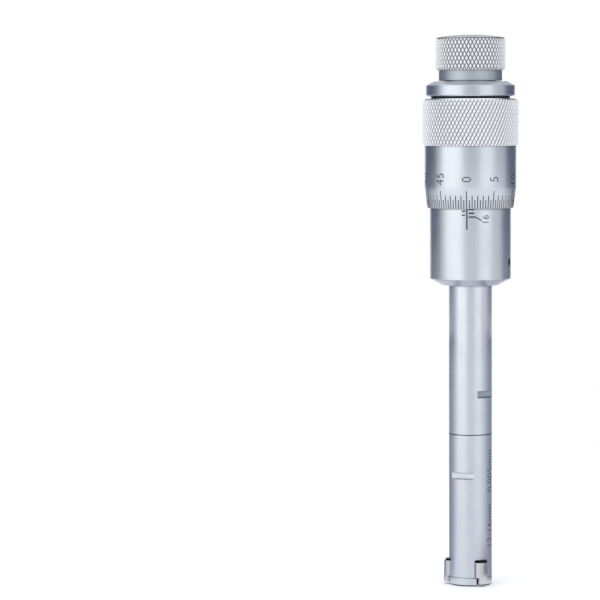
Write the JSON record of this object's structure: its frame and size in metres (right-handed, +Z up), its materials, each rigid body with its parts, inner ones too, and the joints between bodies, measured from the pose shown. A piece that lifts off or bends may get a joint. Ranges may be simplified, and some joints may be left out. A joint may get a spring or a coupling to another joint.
{
  "type": "inside micrometer",
  "caption": "Three-point inside micrometer: slim measuring head with sliding anvils, graduated sleeve, bevelled thimble with knurled band, and ratchet knob on top.",
  "frame": {"origin": "centre of the end face, where the micrometer stands", "axes": "+Z up along the axis to the ratchet knob, -Y to the side with the scale"},
  "size_m": [0.0252, 0.0252, 0.1456],
  "materials": {
    "satin_chrome": "satin chrome plate on turned steel",
    "tool_steel": "ground",
    "hardened_steel": "hardened and lapped",
    "blued_spring": "blued spring steel",
    "spring_wire": "drawn wire",
    "screw_steel": "turned",
    "black_oxide": "black oxide",
    "black_washer": "matt black",
    "bronze": "turned"
  },
  "bodies": {
    "frame": {"measuring_head": "satin_chrome", "end_cap": "satin_chrome", "cap_screws": "screw_steel", "spring_rivets": "bronze", "extension_tube": "satin_chrome", "rod_guide": "bronze", "barrel": "tool_steel", "adjusting_nut": "tool_steel", "graduated_sleeve": "satin_chrome", "sleeve_set_screw": "black_oxide", "return_spring": "spring_wire"},
    "plunger": {"measuring_cone": "hardened_steel", "push_rod": "tool_steel", "spring_collar": "tool_steel", "thrust_ball": "hardened_steel"},
    "thimble": {"spindle": "tool_steel", "thimble": "satin_chrome", "spacer_washer": "black_washer", "end_collar": "satin_chrome", "ratchet_hub": "tool_steel", "ratchet_screw": "screw_steel"},
    "ratchet": {"ratchet_knob": "satin_chrome", "ratchet_disc": "tool_steel", "ratchet_spring": "spring_wire"},
    "anvil_1": {"anvil_1": "hardened_steel", "anvil_spring_1": "blued_spring"},
    "anvil_2": {"anvil_2": "hardened_steel", "anvil_spring_2": "blued_spring"},
    "anvil_3": {"anvil_3": "hardened_steel", "anvil_spring_3": "blued_spring"}
  },
  "joints": [
    {"name": "cone_slide", "type": "slide", "parent": "frame", "child": "plunger", "axis": [0, 0, -1], "range_m": [-0.002, 0.002], "deforming": ["return_spring"]},
    {"name": "thimble_turn", "type": "hinge", "parent": "plunger", "child": "thimble", "pos_m": [0, 0, 0.11], "axis": [0, 0, -1], "range_deg": [-1440, 1440]},
    {"name": "ratchet_turn", "type": "hinge", "parent": "thimble", "child": "ratchet", "pos_m": [0, 0, 0.14], "axis": [0, 0, -1], "continuous": true},
    {"name": "anvil_1_slide", "type": "slide", "parent": "frame", "child": "anvil_1", "axis": [0.515, -0.8572, 0], "range_m": [-0.001, 0.001], "deforming": ["anvil_spring_1"]},
    {"name": "anvil_2_slide", "type": "slide", "parent": "frame", "child": "anvil_2", "axis": [0.4848, 0.8746, 0], "range_m": [-0.001, 0.001], "deforming": ["anvil_spring_2"]},
    {"name": "anvil_3_slide", "type": "slide", "parent": "frame", "child": "anvil_3", "axis": [-0.9998, -0.0175, 0], "range_m": [-0.001, 0.001], "deforming": ["anvil_spring_3"]}
  ],
  "couplings": [
    {"joint": "cone_slide", "follows": "thimble_turn", "m_per_rad": 0.000079577},
    {"joint": "anvil_1_slide", "follows": "thimble_turn", "m_per_rad": 0.000039789},
    {"joint": "anvil_2_slide", "follows": "thimble_turn", "m_per_rad": 0.000039789},
    {"joint": "anvil_3_slide", "follows": "thimble_turn", "m_per_rad": 0.000039789}
  ]
}
